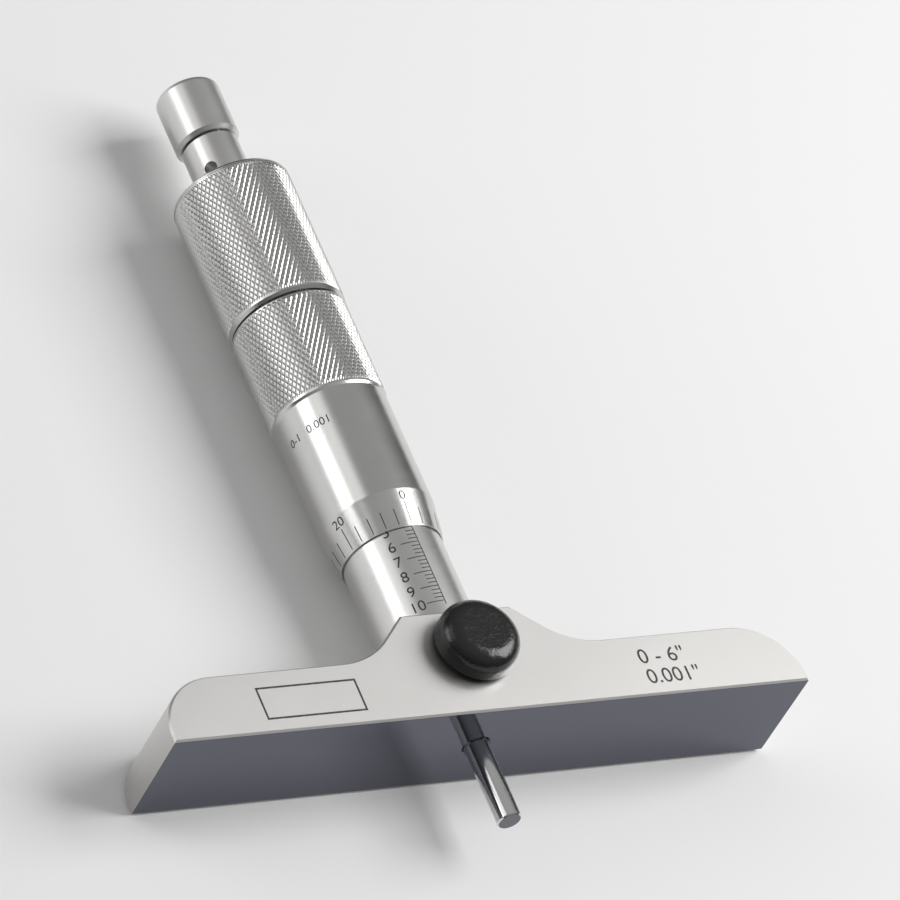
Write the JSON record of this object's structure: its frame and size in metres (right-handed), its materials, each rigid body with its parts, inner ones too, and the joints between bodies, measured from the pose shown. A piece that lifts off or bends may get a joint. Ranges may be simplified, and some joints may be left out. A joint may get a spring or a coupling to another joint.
{
  "type": "depth micrometer",
  "caption": "Depth micrometer with a flat T-shaped base, a hollow screw head with ratchet stop, a thin measuring rod and a black lock knob.",
  "frame": {"origin": "where the spindle axis meets the measuring face of the base", "axes": "+X along the base, +Y up the spindle axis from the measuring face towards the ratchet, +Z out of the front face with the lock knob; the tool lies on its back"},
  "size_m": [0.1016, 0.1281, 0.0222],
  "materials": {
    "ground_steel": "satin ground",
    "satin_chrome": "satin chrome plate",
    "hardened_steel": "ground and polished",
    "black_steel": "black oxide",
    "spring_steel": "drawn wire",
    "plug_brass": "turned",
    "black_gloss": "glossy moulded"
  },
  "bodies": {
    "base_unit": {"base": "ground_steel", "inner_sleeve": "hardened_steel", "adjusting_nut": "hardened_steel"},
    "sleeve": {"outer_sleeve": "satin_chrome"},
    "rod_unit": {"measuring_rod": "hardened_steel", "rod_collar": "black_steel", "rod_lock_nut": "black_steel"},
    "thimble_unit": {"spindle": "hardened_steel", "thimble": "satin_chrome", "clamp_hub": "hardened_steel"},
    "cap_unit": {"thimble_cap": "satin_chrome", "ratchet_body": "satin_chrome", "ratchet_spring": "spring_steel", "ratchet_washer": "hardened_steel", "ratchet_screw": "hardened_steel"},
    "ratchet_ring_unit": {"ratchet_ring": "hardened_steel"},
    "ratchet_knob_unit": {"ratchet_knob": "satin_chrome"},
    "plug_unit": {"clamp_plug": "plug_brass"},
    "lock_unit": {"lock_screw": "hardened_steel", "lock_knob": "black_gloss"}
  },
  "joints": [
    {"name": "sleeve_zero", "type": "hinge", "parent": "base_unit", "child": "sleeve", "pos_m": [0, 0.03, 0], "axis": [0, 1, 0], "range_deg": [-20, 20]},
    {"name": "spindle_feed", "type": "slide", "parent": "base_unit", "child": "rod_unit", "axis": [0, 1, 0], "range_m": [-0.0127, 0.0127]},
    {"name": "thimble_turn", "type": "hinge", "parent": "rod_unit", "child": "thimble_unit", "pos_m": [0, 0.05, 0], "axis": [0, 1, 0], "range_deg": [-7200, 7200]},
    {"name": "cap_lift", "type": "slide", "parent": "thimble_unit", "child": "cap_unit", "axis": [0, 1, 0], "range_m": [0, 0.025]},
    {"name": "ratchet_ring_sink", "type": "slide", "parent": "cap_unit", "child": "ratchet_ring_unit", "axis": [0, 1, 0], "range_m": [-0.0006, 0], "stiffness_N_per_m": 300, "springref_m": 0.002, "deforming": ["ratchet_spring"]},
    {"name": "ratchet_turn", "type": "hinge", "parent": "cap_unit", "child": "ratchet_knob_unit", "pos_m": [0, 0.11, 0], "axis": [0, 1, 0], "continuous": true},
    {"name": "lock_feed", "type": "slide", "parent": "base_unit", "child": "plug_unit", "axis": [0, 0, 1], "range_m": [-0.00035, 0.0007]},
    {"name": "lock_turn", "type": "hinge", "parent": "plug_unit", "child": "lock_unit", "pos_m": [0, 0.0104, 0.009], "axis": [0, 0, 1], "range_deg": [-180, 360]}
  ],
  "couplings": [
    {"joint": "thimble_turn", "follows": "spindle_feed", "rad_per_m": 9894.7},
    {"joint": "lock_turn", "follows": "lock_feed", "rad_per_m": 8975.9}
  ]
}
